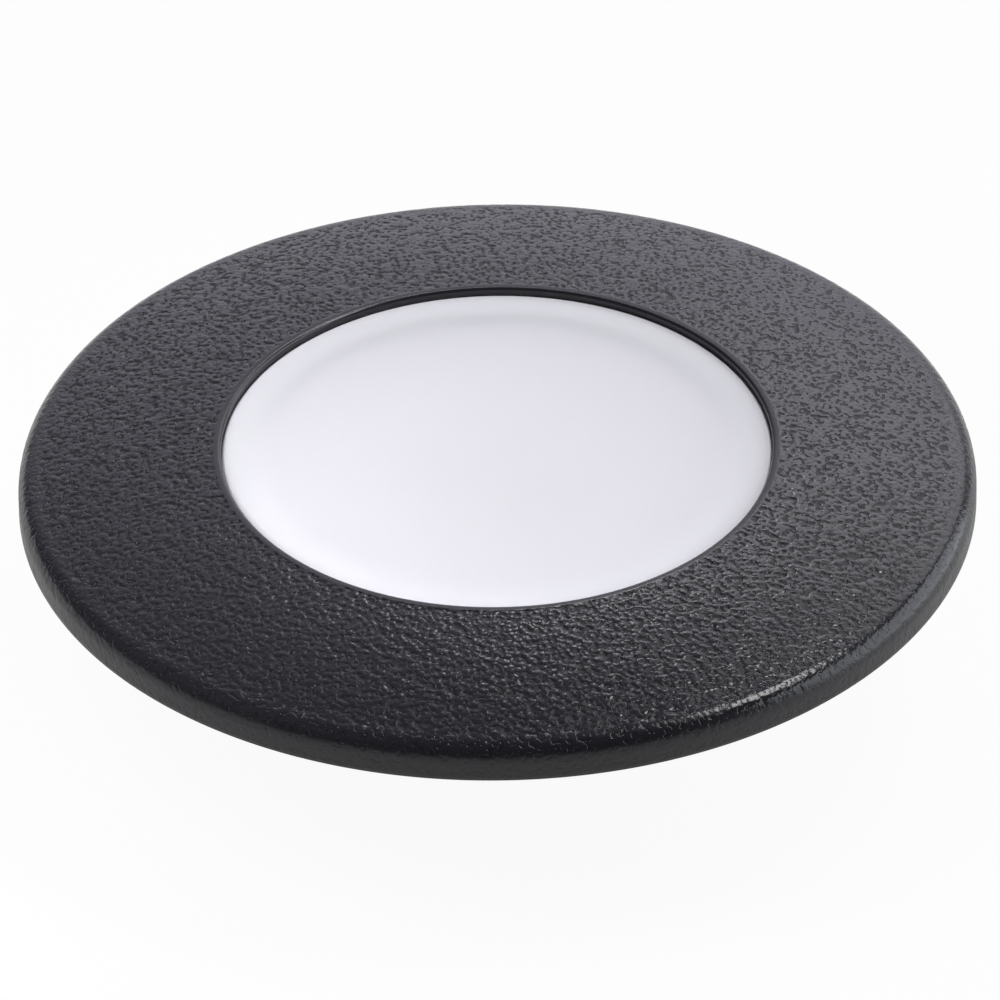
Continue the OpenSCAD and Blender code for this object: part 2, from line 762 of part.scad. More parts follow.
// Rubber bush that grips the supply cable
module gland_seal() {
    color("#1b1b1c") along_gland(gland_neck_y + rest_gap) difference() {
        cylinder(r = gland_seal_r, h = gland_seal_l);
        translate([0, 0, -past]) cylinder(r = cable_r, h = gland_seal_l + 2 * past);
    }
}

// Cap nut that squeezes the bush, with a domed mouth for the cable
module gland_nut() {
    dome_r = gland_hex / 2 - rest_gap;
    seal_end = gland_neck_y + rest_gap + gland_seal_l - gland_nut_y;
    color("#2c2e31") along_gland(gland_nut_y) difference() {
        union() {
            hexagon(gland_nut_l);
            rotate_extrude() polygon(concat(
                [[0, 0], [dome_r, 0]],
                arc([dome_r - gland_dome_l, gland_nut_l], gland_dome_l, 0, 90, 6),
                [[0, gland_nut_l + gland_dome_l]]
            ));
        }
        translate([0, 0, -past]) cylinder(r = gland_r + screw_gap, h = seal_end + rest_gap + past);
        cylinder(r = gland_mouth_r, h = gland_nut_l + gland_dome_l + past);
    }
}

trim_ring();
lens();
lens_gasket();
reflector();
leds();
led_board();
led_board_screws();
thermal_pad();
housing();
ground_gasket();
wire_grommet();
link_wires();
driver_board();
driver_board_screws();
rectifier();
capacitor();
inductor();
driver_chip();
resistors();
terminal_block();
terminal_screws();
base_gasket();
base_cover();
base_screws();
vent_plug();
vent_seal();
gland_washer();
gland_body();
gland_seal();
gland_nut();
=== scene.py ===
import math

import bmesh
import bpy
from mathutils import Matrix, Vector


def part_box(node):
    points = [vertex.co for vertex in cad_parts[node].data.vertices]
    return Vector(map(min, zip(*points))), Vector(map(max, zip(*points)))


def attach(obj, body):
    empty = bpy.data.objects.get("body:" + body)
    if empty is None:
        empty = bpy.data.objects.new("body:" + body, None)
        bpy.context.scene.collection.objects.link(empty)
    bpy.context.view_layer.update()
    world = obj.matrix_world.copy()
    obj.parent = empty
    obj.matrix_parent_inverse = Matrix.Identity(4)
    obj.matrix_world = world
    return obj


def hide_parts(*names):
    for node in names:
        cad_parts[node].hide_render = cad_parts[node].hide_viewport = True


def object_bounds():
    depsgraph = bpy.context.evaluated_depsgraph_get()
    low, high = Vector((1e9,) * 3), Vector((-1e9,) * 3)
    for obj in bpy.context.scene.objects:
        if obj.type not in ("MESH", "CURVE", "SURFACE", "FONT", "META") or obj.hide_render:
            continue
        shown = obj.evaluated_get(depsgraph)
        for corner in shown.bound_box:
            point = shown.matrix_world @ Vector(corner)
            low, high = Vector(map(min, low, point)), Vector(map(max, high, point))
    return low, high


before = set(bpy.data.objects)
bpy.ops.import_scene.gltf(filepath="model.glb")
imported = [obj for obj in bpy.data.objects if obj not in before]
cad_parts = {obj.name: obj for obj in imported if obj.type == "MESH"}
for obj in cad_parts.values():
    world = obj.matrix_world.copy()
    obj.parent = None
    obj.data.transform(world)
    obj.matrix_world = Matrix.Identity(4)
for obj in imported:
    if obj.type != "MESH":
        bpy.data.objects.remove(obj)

cadLow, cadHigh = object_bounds()
mm = 0.001  # the frame is in metres
print("frame loaded:", len(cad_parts), "nodes")


# shader and geometry nodes

def addNode(tree, kind, settings=None, **inputs):
    # an input is given by its name, or as n0, n1 and so on where names repeat
    node = tree.nodes.new(kind)
    for name, value in (settings or {}).items():
        setattr(node, name, value)
    for name, value in inputs.items():
        numbered = name[0] == "n" and name[1:].isdigit()
        socket = node.inputs[int(name[1:]) if numbered else name]
        if isinstance(value, bpy.types.NodeSocket):
            tree.links.new(value, socket)
        else:
            socket.default_value = value
    return node


def mathNode(tree, operation, a, b=0.0):
    return addNode(tree, "ShaderNodeMath", {"operation": operation}, n0=a, n1=b).outputs[0]


def spread(tree, value, low, high, toLow=0.0, toHigh=1.0):
    # low becomes toLow and high becomes toHigh, with a smooth step between them
    return addNode(tree, "ShaderNodeMapRange", {"interpolation_type": "SMOOTHSTEP"},
                   n0=value, n1=low, n2=high, n3=toLow, n4=toHigh).outputs[0]


def blendColours(tree, share, first, second):
    node = addNode(tree, "ShaderNodeMix", {"data_type": "RGBA"})
    for socket, value in zip([node.inputs[0], node.inputs[6], node.inputs[7]], [share, first, second]):
        if isinstance(value, bpy.types.NodeSocket):
            tree.links.new(value, socket)
        elif isinstance(value, float):
            socket.default_value = value
        else:
            socket.default_value = (*value, 1)
    return node.outputs[2]


def splitVector(tree, vector):
    return addNode(tree, "ShaderNodeSeparateXYZ", n0=vector).outputs


# camera, floor and studio light

photoCamera = {
    "elevation": 35.3,  # degrees above the horizon, looking along +Y
    "roll": 0.8,  # degrees; the light's right side stands a little higher in the photograph
    "distance": 1.393,
    "lens": 480,
    "sensor": 36,
    "pictureSize": 1000,
    "axisPixel": (497.6, 496.7),  # where the light's axis meets the ground
}


def makeCamera(look):
    elevation, roll = math.radians(look["elevation"]), math.radians(look["roll"])
    forward = Vector((0, math.cos(elevation), -math.sin(elevation)))
    level = Vector((1, 0, 0))
    upright = level.cross(forward)
    right = level * math.cos(roll) - upright * math.sin(roll)
    up = upright * math.cos(roll) + level * math.sin(roll)
    pixel = look["sensor"] / look["pictureSize"] * look["distance"] / look["lens"]
    middle = look["pictureSize"] / 2
    across, down = middle - look["axisPixel"][0], middle - look["axisPixel"][1]
    target = right * across * pixel - up * down * pixel
    data = bpy.data.cameras.new("photoCamera")
    data.lens, data.sensor_width = look["lens"], look["sensor"]
    camera = bpy.data.objects.new("photoCamera", data)
    bpy.context.scene.collection.objects.link(camera)
    turned = Matrix((right, up, -forward)).transposed().to_4x4()
    camera.matrix_world = Matrix.Translation(target - forward * look["distance"]) @ turned
    bpy.context.scene.camera = camera


def heading(angle, height):
    # degrees: the angle runs from the back round to the right, the height up from the horizon
    turn, rise = math.radians(angle), math.radians(height)
    return Vector((math.sin(turn) * math.cos(rise), math.cos(turn) * math.cos(rise), math.sin(rise)))


studio = {
    "tint": (1.0, 0.975, 1.12),
    "overhead": 0.08,  # brightness of the room overhead and at the front
    "backWall": 1.3,  # added towards the wall behind the light
    "backAngle": 5,
    "backHeight": 17,
    "backSharpness": 8,
    "rightWall": 0.1,  # added towards the bright side of the room
    "rightAngle": 16,
    "rightHeight": 38,
    "rightSharpness": 45,
    "paperTop": 0.15,  # how far up mirrors see the white paper, as the sine of the angle
    "floorHalf": 3.0,
    "floorGrey": 0.4,  # as it lights the object
    "floorWhite": 0.9,  # as the camera sees it
    "floorGlow": 0.94,  # how far the camera sees the floor as plain white, without shadows
}


def wallGlow(tree, direction, look, wall):
    towards = heading(look[wall + "Angle"], look[wall + "Height"])
    facing = addNode(tree, "ShaderNodeVectorMath", {"operation": "DOT_PRODUCT"}, n0=direction, n1=towards)
    front = mathNode(tree, "MAXIMUM", facing.outputs["Value"], 0.0)
    lobe = mathNode(tree, "POWER", front, look[wall + "Sharpness"])
    return mathNode(tree, "MULTIPLY", lobe, look[wall + "Wall"])


def backgroundRays(tree, mirrorShare=1.0):
    # the camera sees the plain background, and so do mirrors and glass
    rays = addNode(tree, "ShaderNodeLightPath").outputs
    mirrored = mathNode(tree, "MULTIPLY", rays["Is Glossy Ray"], mirrorShare)
    passed = mathNode(tree, "MAXIMUM", rays["Is Camera Ray"], rays["Is Transmission Ray"])
    return mathNode(tree, "MAXIMUM", passed, mirrored)


def makeWorld(look):
    world = bpy.data.worlds.new("studio")
    bpy.context.scene.world = world
    world.use_nodes = True
    tree = world.node_tree
    tree.nodes.clear()
    direction = addNode(tree, "ShaderNodeTexCoord").outputs["Generated"]
    back = wallGlow(tree, direction, look, "back")
    side = wallGlow(tree, direction, look, "right")
    level = mathNode(tree, "ADD", mathNode(tree, "ADD", back, side), look["overhead"])
    room = addNode(tree, "ShaderNodeBackground", Color=(*look["tint"], 1), Strength=level)
    paper = addNode(tree, "ShaderNodeBackground", Color=(1, 1, 1, 1), Strength=1.0)
    horizon = spread(tree, splitVector(tree, direction)[2], look["paperTop"], 0.0)
    seen = backgroundRays(tree, horizon)
    shown = addNode(tree, "ShaderNodeMixShader", n0=seen, n1=room.outputs[0], n2=paper.outputs[0])
    addNode(tree, "ShaderNodeOutputWorld", Surface=shown.outputs[0])


def makeFloor(look):
    half, grey, pale = look["floorHalf"], look["floorGrey"], look["floorWhite"]
    mesh = bpy.data.meshes.new("floor")
    corners = [(-half, -half, 0), (half, -half, 0), (half, half, 0), (-half, half, 0)]
    mesh.from_pydata(corners, [], [(0, 1, 2, 3)])
    floor = bpy.data.objects.new("floor", mesh)
    floor.location.z = cadLow.z
    bpy.context.scene.collection.objects.link(floor)
    material = bpy.data.materials.new("palePaper")
    material.use_nodes = True
    tree = material.node_tree
    tree.nodes.clear()
    lit = addNode(tree, "ShaderNodeBsdfDiffuse", Color=(grey, grey, grey, 1))
    litWhite = addNode(tree, "ShaderNodeBsdfDiffuse", Color=(pale, pale, pale, 1))
    glow = addNode(tree, "ShaderNodeEmission", Color=(1, 1, 1, 1), Strength=1.0)
    paper = addNode(tree, "ShaderNodeMixShader", n0=look["floorGlow"], n1=litWhite.outputs[0],
                    n2=glow.outputs[0])
    seen = backgroundRays(tree)
    shown = addNode(tree, "ShaderNodeMixShader", n0=seen, n1=lit.outputs[0], n2=paper.outputs[0])
    addNode(tree, "ShaderNodeOutputMaterial", Surface=shown.outputs[0])
    material.cycles.emission_sampling = "NONE"
    mesh.materials.append(material)


white = (1, 1, 1)
lampTable = [
    {"name": "keyRight", "angle": 60, "height": 62, "distance": 0.9, "size": (0.45, 0.15),
     "watts": 2.4, "colour": white, "mirrored": True},
    {"name": "sideFill", "angle": 80, "height": 20, "distance": 0.9, "size": (1.1, 0.75),
     "watts": 7.0, "colour": (0.88, 0.93, 1.0), "mirrored": True},
    {"name": "frontFill", "angle": 240, "height": 40, "distance": 0.12, "size": (0.07, 0.07),
     "watts": 0.092, "colour": white, "mirrored": False},  # near, so the lens darkens away from it
    {"name": "rightBox", "angle": 21, "height": 36, "distance": 0.9, "size": (0.38, 0.38),
     "watts": 0.56, "colour": white, "mirrored": True},
    {"name": "backKey", "angle": 4, "height": 43, "distance": 0.9, "size": (0.07, 0.07),
     "watts": 0.15, "colour": white, "mirrored": True},
]


def makeLamp(look):
    data = bpy.data.lights.new(look["name"], "AREA")
    data.shape = "RECTANGLE"
    data.size, data.size_y = look["size"]
    data.energy, data.color = look["watts"], look["colour"]
    lamp = bpy.data.objects.new(look["name"], data)
    lamp.location = heading(look["angle"], look["height"]) * look["distance"]
    lamp.rotation_euler = (-lamp.location).to_track_quat("-Z", "Y").to_euler()
    lamp.visible_glossy = look["mirrored"]
    lamp.visible_camera = False
    bpy.context.scene.collection.objects.link(lamp)


bpy.context.scene.view_settings.view_transform = "Standard"
makeCamera(photoCamera)
makeWorld(studio)
makeFloor(studio)
for lampLook in lampTable:
    makeLamp(lampLook)
print("camera, floor and lamps made")


# turned pieces: an outline of (radius, height, grain) points swept round the axis

def straight(start, end, step, grain):
    count = max(1, round(math.dist(start, end) / step))
    across, up = end[0] - start[0], end[1] - start[1]
    return [(start[0] + across * i / count, start[1] + up * i / count, grain) for i in range(count)]


def bend(centre, radius, fromAngle, toAngle, count, grain):
    points = []
    for i in range(count):
        angle = math.radians(fromAngle + (toAngle - fromAngle) * i / count)
        points.append((centre[0] + radius * math.cos(angle), centre[1] + radius * math.sin(angle), grain))
    return points


def turnedMesh(name, outline, segments):
    # a point on the axis is one vertex, and every other point is a circle of them
    rings, places, grain = [], [], []
    for radius, height, weight in outline:
        if radius == 0:
            rings.append([len(places)] * segments)
            places.append((0, 0, height))
            grain.append(weight)
            continue
        rings.append([len(places) + i for i in range(segments)])
        for i in range(segments):
            angle = 2 * math.pi * i / segments
            places.append((radius * math.cos(angle), radius * math.sin(angle), height))
            grain.append(weight)
    faces = []
    for lower, upper in zip(rings, rings[1:] + rings[:1]):
        for i in range(segments):
            corners = [lower[i], upper[i], upper[(i + 1) % segments], lower[(i + 1) % segments]]
            face = [c for k, c in enumerate(corners) if c != corners[k - 1]]
            if len(face) > 2:
                faces.append(face)
    mesh = bpy.data.meshes.new(name)
    mesh.from_pydata(places, [], faces)
    mesh.attributes.new("grain", "FLOAT", "POINT").data.foreach_set("value", grain)
    mesh.shade_smooth()
    piece = bpy.data.objects.new(name, mesh)
    bpy.context.scene.collection.objects.link(piece)
    return piece


def addSwept(shape, outline, fromAngle, toAngle, steps):
    # a closed solid: the outline of (radius, height) points turned through part of a circle
    rows = []
    for k in range(steps + 1):
        angle = math.radians(fromAngle + (toAngle - fromAngle) * k / steps)
        rows.append([shape.verts.new((radius * math.cos(angle), radius * math.sin(angle), height))
                     for radius, height in outline])
    faces = [shape.faces.new(rows[0]), shape.faces.new(rows[-1][::-1])]
    count = len(outline)
    for first, second in zip(rows, rows[1:]):
        for i in range(count):
            j = (i + 1) % count
            faces.append(shape.faces.new([first[i], second[i], second[j], first[j]]))
    return faces


# trim ring

trimLook = {
    "segments": 940,
    "openingRadius": 28.75 * mm,
    "lipWidth": 0.8 * mm,
    "lipRound": 0.3 * mm,
    "rise": 2.6 * mm,  # from the shoulder to the lip
    "crown": 0.3 * mm,  # how far the slope bulges above a straight cone
    "edgeRound": 2.0 * mm,  # radius of the shoulder
    "smallEdge": 0.15 * mm,  # edges of the lip and of the skirt's foot
    "wall": 2.0 * mm,
    "sleeveWall": 2.25 * mm,
    "sleeveBottom": 1.2185 * mm,
    "ribCount": 24,
    "ribThickness": 1.2 * mm,
    "ribStart": 43.8 * mm,
    "ribDepth": 0.4 * mm,  # at its inner end, and its foot stands as high above the ground
    "lugCount": 3,
    "lugAngle": 16,  # degrees
    "lugWidth": 1.3 * mm,
    "lugThickness": 1.1 * mm,
    "overlap": 0.05 * mm,  # how far ribs and lugs reach into the wall
    "skirtGrain": 0.42,  # share of the grain that the shoulder and skirt have
    "grainFade": 0.5 * mm,
    "grainStep": 0.27 * mm,  # steps of the outline: on the slope, and then elsewhere
    "skirtStep": 0.45 * mm,
    "lipStep": 0.2 * mm,
    "wallStep": 1.5 * mm,
    "underStep": 6 * mm,
    "lipSteps": 4,
    "shoulderSteps": 10,
    "lugSteps": 12,
}

trimGrain = {
    "pitch": 0.5 * mm,
    "detail": 0.4,
    "distortion": 0.2,
    "rim": 0.55,  # the noise value at which a pit starts
    "floor": 0.63,  # and at which it is at its deepest
    "depth": 0.06 * mm,
    "relief": 0.062 * mm,  # how deep the finish makes the pits look beside that
    "domePitch": 0.62 * mm,  # size of the low domes between the pits
    "domeHeight": 0.77,  # share of the relief, on the grain
    "domeFull": 0.9,  # the grain share from which the domes have that height
    "domePlain": 0.02,  # share of the relief, off the grain
    "fineSize": 0.16 * mm,
    "fineHeight": 0.03,
}

trimPlastic = {
    "colour": (0.013, 0.0122, 0.0152),
    # painted shade: the pits get a darker colour that stands in for the shade inside them
    "pitPaintedShade": (0.005, 0.005, 0.006),
    "specular": 0.42,
    "roughness": 0.16,
    "smoother": 0.02,
    "rougher": 0.02,
    "mottle": 3 * mm,  # size of the patches that differ in roughness
    "pitRoughness": 0.5,
    "pitStart": 0.55,  # share of a pit's depth from which it is rough
    "dull": 0.26,  # roughness added low on the skirt
    "dullFrom": 3.6 * mm,  # height where that starts
    "dullTo": 2.4 * mm,  # and where it is complete
}

trimLow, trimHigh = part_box("trim_ring")


def trimTop(look, radius):
    # height of the sloping top, which bulges a little above a straight cone
    shoulder, lip = trimHigh.x - look["edgeRound"], look["openingRadius"] + look["lipWidth"]
    t = (shoulder - radius) / (shoulder - lip)
    return trimHigh.z - look["rise"] + look["rise"] * t + 4 * look["crown"] * t * (1 - t)


def trimOutline(look):
    outer, top, foot = trimHigh.x, trimHigh.z, trimLow.z
    opening, edge, wall = look["openingRadius"], look["smallEdge"], look["wall"]
    shoulder = outer - look["edgeRound"]
    lip = opening + look["lipWidth"]
    sleeve = opening + look["sleeveWall"]
    skirtIn = outer - wall
    skirtGrain = look["skirtGrain"]

    def rise(radius):
        return trimTop(look, radius)

    def slopeGrain(radius):
        # none on the lip, full on the slope, less again from the start of the rounded shoulder
        if radius <= lip:
            return 0
        fade = (shoulder - radius) / look["grainFade"]
        return skirtGrain + (1 - skirtGrain) * min(1, max(0, fade))

    slope = math.degrees(math.atan((look["rise"] + 4 * look["crown"]) / (shoulder - lip)))
    slopeEnd = shoulder + look["edgeRound"] * math.sin(math.radians(slope))
    roundHeight = rise(slopeEnd) - look["edgeRound"] * math.cos(math.radians(slope))
    rows = round((slopeEnd - lip) / look["grainStep"])
    slopeRadii = [lip + (slopeEnd - lip) * i / rows for i in range(rows)]
    innerTop = top - look["lipRound"]
    bottom = look["sleeveBottom"]
    lipIn = opening + look["lipRound"]
    skirtTop = (skirtIn, rise(skirtIn) - wall)
    sleeveTop = (sleeve, rise(sleeve) - wall)
    return (
        straight((opening, bottom), (opening, innerTop), look["wallStep"], 0)
        + bend((lipIn, innerTop), look["lipRound"], 180, 90, look["lipSteps"], 0)
        + straight((lipIn, top), (lip - edge, top), look["lipStep"], 0)
        + [(lip - edge, top, 0)]
        + [(radius, rise(radius), slopeGrain(radius)) for radius in slopeRadii]
        + bend((shoulder, roundHeight), look["edgeRound"], 90 - slope, 0, look["shoulderSteps"], skirtGrain)
        + straight((outer, roundHeight), (outer, foot + edge), look["skirtStep"], skirtGrain)
        + [(outer, foot + edge, 0), (outer - edge, foot, 0)]
        + straight((skirtIn, foot), skirtTop, look["wallStep"], 0)
        + straight(skirtTop, sleeveTop, look["underStep"], 0)
        + straight(sleeveTop, (sleeve, bottom), look["wallStep"], 0)
        + [(sleeve, bottom, 0)]
    )


def addRibsAndLugs(piece, look):
    # ribs between the skirt and the underside, and the lugs that twist under the housing's collar
    overlap, ribStart = look["overlap"], look["ribStart"]
    ribEnd = trimHigh.x - look["wall"] + overlap
    outerUnder, innerUnder = [trimTop(look, radius) - look["wall"] for radius in (ribEnd, ribStart)]
    foot = trimLow.z + look["ribDepth"]
    rib = [(ribStart, innerUnder - look["ribDepth"]), (ribEnd - overlap, foot), (ribEnd, foot),
           (ribEnd, outerUnder + overlap), (ribStart, innerUnder + overlap)]
    half = math.degrees(look["ribThickness"] / (ribEnd + ribStart))
    shape = bmesh.new()
    shape.from_mesh(piece.data)
    faces = []
    for k in range(look["ribCount"]):
        middle = 360 * (k + 0.5) / look["ribCount"]
        faces += addSwept(shape, rib, middle - half, middle + half, 1)
    bottom, top = look["sleeveBottom"], look["sleeveBottom"] + look["lugThickness"]
    inner = look["openingRadius"] + look["sleeveWall"] - overlap
    outer = look["openingRadius"] + look["sleeveWall"] + look["lugWidth"]
    lug = [(inner, bottom), (outer, bottom), (outer, top), (inner, top)]
    half = look["lugAngle"] / 2
    for k in range(look["lugCount"]):
        middle = 360 * k / look["lugCount"]
        faces += addSwept(shape, lug, middle - half, middle + half, look["lugSteps"])
    bmesh.ops.recalc_face_normals(shape, faces=faces)
    shape.to_mesh(piece.data)
    shape.free()


def grainPits(tree, place, look):
    # the same noise shapes the mesh and shades it, so the pits of both fall together
    noise = addNode(tree, "ShaderNodeTexNoise", Vector=place, Scale=1 / look["pitch"],
                    Detail=look["detail"], Distortion=look["distortion"])
    return spread(tree, noise.outputs[0], look["rim"], look["floor"])


def pressGrain(piece, look):
    # moves the surface inwards at each pit
    tree = bpy.data.node_groups.new("pressGrain", "GeometryNodeTree")
    tree.interface.new_socket("Geometry", in_out="INPUT", socket_type="NodeSocketGeometry")
    tree.interface.new_socket("Geometry", in_out="OUTPUT", socket_type="NodeSocketGeometry")
    source = addNode(tree, "NodeGroupInput").outputs[0]
    place = addNode(tree, "GeometryNodeInputPosition").outputs[0]
    weight = addNode(tree, "GeometryNodeInputNamedAttribute", {"data_type": "FLOAT"}, Name="grain")
    pits = mathNode(tree, "MULTIPLY", grainPits(tree, place, look), weight.outputs[0])
    outward = addNode(tree, "GeometryNodeInputNormal").outputs[0]
    sink = addNode(tree, "ShaderNodeVectorMath", {"operation": "SCALE"}, n0=outward,
                   Scale=mathNode(tree, "MULTIPLY", pits, -look["depth"])).outputs[0]
    moved = addNode(tree, "GeometryNodeSetPosition", Geometry=source, Offset=sink).outputs[0]
    addNode(tree, "NodeGroupOutput", n0=moved)
    piece.modifiers.new("pressGrain", "NODES").node_group = tree


# what all finishes are made with

noiseLow, noiseHigh = 0.3, 0.7  # most of a noise texture lies between these
smoothNoise, gritNoise = 1.0, 3.0  # detail of the softest and of the finest speckle


def startFinish(name, colour, roughness, metallic=0.0):
    material = bpy.data.materials.new(name)
    material.use_nodes = True
    tree = material.node_tree
    shader = tree.nodes["Principled BSDF"]
    shader.inputs["Base Color"].default_value = (*colour, 1)
    shader.inputs["Roughness"].default_value = roughness
    shader.inputs["Metallic"].default_value = metallic
    place = addNode(tree, "ShaderNodeTexCoord").outputs["Object"]
    return material, tree, shader, place


def speckle(tree, place, size, detail=2.0):
    return addNode(tree, "ShaderNodeTexNoise", Vector=place, Scale=1 / size, Detail=detail).outputs[0]


def between(tree, value, low, high):
    above = mathNode(tree, "GREATER_THAN", value, low)
    return mathNode(tree, "MULTIPLY", above, mathNode(tree, "LESS_THAN", value, high))


def varyColour(tree, shader, share, first, second):
    tree.links.new(blendColours(tree, share, first, second), shader.inputs["Base Color"])


def patchyRoughness(tree, noise, look):
    smoothest, roughest = look["roughness"] - look["smoother"], look["roughness"] + look["rougher"]
    return spread(tree, noise, noiseLow, noiseHigh, smoothest, roughest)


def varyRoughness(tree, shader, noise, look):
    tree.links.new(patchyRoughness(tree, noise, look), shader.inputs["Roughness"])


def emboss(tree, shader, height, depth):
    bump = addNode(tree, "ShaderNodeBump", Height=height, Distance=depth)
    tree.links.new(bump.outputs[0], shader.inputs["Normal"])


def trimFinish(look, grain):
    material, tree, shader, place = startFinish("trimPlastic", look["colour"], look["roughness"])
    shader.inputs["Specular IOR Level"].default_value = look["specular"]
    weight = addNode(tree, "ShaderNodeAttribute", {"attribute_name": "grain"}).outputs["Fac"]
    pits = mathNode(tree, "MULTIPLY", grainPits(tree, place, grain), weight)
    # painted shade: the pits are coloured darker, for the shade that falls inside them
    varyColour(tree, shader, pits, look["colour"], look["pitPaintedShade"])
    # semi-gloss on top, duller low on the skirt and in the pits
    mottled = patchyRoughness(tree, speckle(tree, place, look["mottle"]), look)
    height = splitVector(tree, place)[2]
    dull = spread(tree, height, look["dullFrom"], look["dullTo"], 0.0, look["dull"])
    plain = mathNode(tree, "ADD", mottled, dull)
    deep = spread(tree, pits, look["pitStart"], 1.0)
    rough = addNode(tree, "ShaderNodeMix", n0=deep, n2=plain, n3=look["pitRoughness"]).outputs[0]
    tree.links.new(rough, shader.inputs["Roughness"])
    # low domes, a fine unevenness, and the pits between the domes
    swelling = spread(tree, weight, 0.0, grain["domeFull"], -grain["domePlain"], -grain["domeHeight"])
    cell = addNode(tree, "ShaderNodeTexVoronoi", Vector=place, Scale=1 / grain["domePitch"])
    reach = cell.outputs["Distance"]
    domes = mathNode(tree, "MULTIPLY", mathNode(tree, "MULTIPLY", reach, reach), swelling)
    fine = mathNode(tree, "MULTIPLY", speckle(tree, place, grain["fineSize"]), grain["fineHeight"])
    relief = mathNode(tree, "ADD", domes, fine)
    emboss(tree, shader, mathNode(tree, "SUBTRACT", relief, pits), grain["relief"])
    return material


trimRing = turnedMesh("trimRing", trimOutline(trimLook), trimLook["segments"])
addRibsAndLugs(trimRing, trimLook)
pressGrain(trimRing, trimGrain)
trimRing.data.materials.append(trimFinish(trimPlastic, trimGrain))
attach(trimRing, "trim")
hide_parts("trim_ring")
print("trim ring made:", len(trimRing.data.polygons), "faces")


# lens

lensLook = {
    "segments": 240,
    "faceRadius": 28.72 * mm,
    "faceThickness": 2.5 * mm,
    "bevel": 0.35 * mm,
    "bevelSteps": 6,
    "tubeWall": 2.3 * mm,
    "flangeThickness": 2.2 * mm,
    "step": 2 * mm,
    "colour": (0.93, 0.92, 0.955),
    "roughness": 0.65,
    "ior": 1.49,
    "clearMiddle": 0.4,  # share of the light that passes the hazy face
    "clearRim": 0.26,
    "clearUnder": 0.95,
    "rimFrom": -3.0 * mm,  # from the tube's inside, where the middle starts to turn into the rim
    "rimTo": 0.2 * mm,
    "margin": 0.1 * mm,  # inside the edges, where the underside starts
    "haze": 0.25 * mm,
    "hazeDepth": 0.012 * mm,
}

lensLow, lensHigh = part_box("lens")


def lensOutline(look):
    face, bevel, step = look["faceRadius"], look["bevel"], look["step"]
    outer, top, bottom = lensHigh.x, lensHigh.z, lensLow.z
    tube = face - look["tubeWall"]
    under = top - look["faceThickness"]
    flangeTop = bottom + look["flangeThickness"]
    return (
        straight((0, top), (face - bevel, top), step, 0)
        + bend((face - bevel, top - bevel), bevel, 90, 0, look["bevelSteps"], 0)
        + straight((face, top - bevel), (face, flangeTop), step, 0)
        + straight((face, flangeTop), (outer, flangeTop), step, 0)
        + straight((outer, flangeTop), (outer, bottom), step, 0)
        + straight((outer, bottom), (tube, bottom), step, 0)
        + straight((tube, bottom), (tube, under), step, 0)
        + straight((tube, under), (0, under), step, 0)
        + [(0, under, 0)]
    )


def lensFinish(look):
    # a hazy face, clearer in the middle, over a clear underside
    material, tree, shader, place = startFinish("frostedAcrylic", look["colour"], look["roughness"])
    emboss(tree, shader, speckle(tree, place, look["haze"], gritNoise), look["hazeDepth"])
    across = addNode(tree, "ShaderNodeVectorMath", {"operation": "MULTIPLY"}, n0=place, n1=(1, 1, 0))
    length = addNode(tree, "ShaderNodeVectorMath", {"operation": "LENGTH"}, n0=across.outputs[0])
    radius = length.outputs["Value"]
    tube = look["faceRadius"] - look["tubeWall"]
    face = spread(tree, radius, tube + look["rimFrom"], tube + look["rimTo"], look["clearMiddle"],
                  look["clearRim"])
    faceEdge = lensHigh.z - look["bevel"] - look["margin"]
    below = mathNode(tree, "LESS_THAN", splitVector(tree, place)[2], faceEdge)
    inside = mathNode(tree, "LESS_THAN", radius, tube - look["margin"])
    under = mathNode(tree, "MULTIPLY", mathNode(tree, "MULTIPLY", below, inside), look["clearUnder"])
    tree.links.new(mathNode(tree, "MAXIMUM", face, under), shader.inputs["Transmission Weight"])
    shader.inputs["IOR"].default_value = look["ior"]
    return material


lens = turnedMesh("frostedLens", lensOutline(lensLook), lensLook["segments"])
lens.data.materials.append(lensFinish(lensLook))
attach(lens, "fixture")
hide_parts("lens")
print("lens made")


# finishes of the pieces that the construction brings, each with its own grain

castLook = {
    "colour": (0.045, 0.047, 0.05),
    "paler": 1.35,  # how much paler the high spots are
    "highFrom": 0.45,
    "highTo": 0.7,
    "roughness": 0.5,
    "smoother": 0.07,
    "rougher": 0.1,
    "peel": 1.1 * mm,
    "sand": 0.22 * mm,
    "sandShare": 0.35,
    "relief": 0.05 * mm,
}
coverLook = {**castLook, "colour": (0.038, 0.04, 0.043), "relief": 0.035 * mm}


def castFinish(name, look):
    # powder coat: orange peel, a fine sandy speckle, and paler colour where the peel stands high
    material, tree, shader, place = startFinish(name, look["colour"], look["roughness"])
    peel = speckle(tree, place, look["peel"], smoothNoise)
    sand = speckle(tree, place, look["sand"], gritNoise)
    high = spread(tree, peel, look["highFrom"], look["highTo"])
    varyColour(tree, shader, high, look["colour"], tuple(c * look["paler"] for c in look["colour"]))
    varyRoughness(tree, shader, sand, look)
    relief = mathNode(tree, "ADD", peel, mathNode(tree, "MULTIPLY", sand, look["sandShare"]))
    emboss(tree, shader, relief, look["relief"])
    return material


